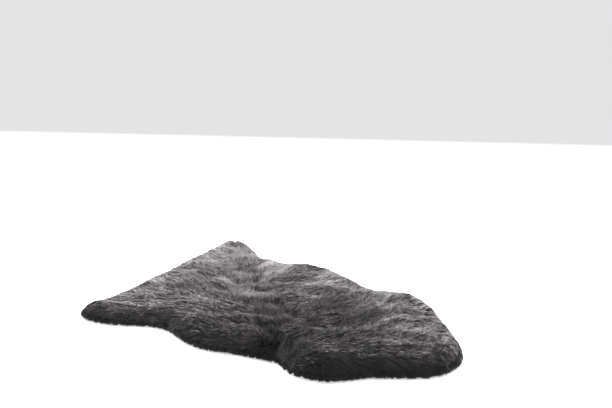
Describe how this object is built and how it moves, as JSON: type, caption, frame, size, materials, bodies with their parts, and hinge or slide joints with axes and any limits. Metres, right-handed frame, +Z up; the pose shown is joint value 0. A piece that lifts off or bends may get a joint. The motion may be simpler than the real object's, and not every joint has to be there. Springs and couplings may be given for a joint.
{
  "type": "sheepskin rug",
  "caption": "Flat sheepskin rug: one hide with deep, soft wool, pointed legs at one end, a waist on the near flank and a rounded, lobed end.",
  "frame": {"origin": "on the floor, under the middle of the rug's bounding box", "axes": "+X along the hide's length, from the end with the pointed legs to the rounded end; +Y to the far flank, away from the waisted near flank; +Z up, out of the wool"},
  "size_m": [1.1694, 0.7853, 0.0609],
  "materials": {
    "dyed_wool": "matt, dyed charcoal grey sheep's wool with a soft sheen on its tips"
  },
  "bodies": {
    "root": {"sheepskin": "dyed_wool"}
  },
  "joints": []
}
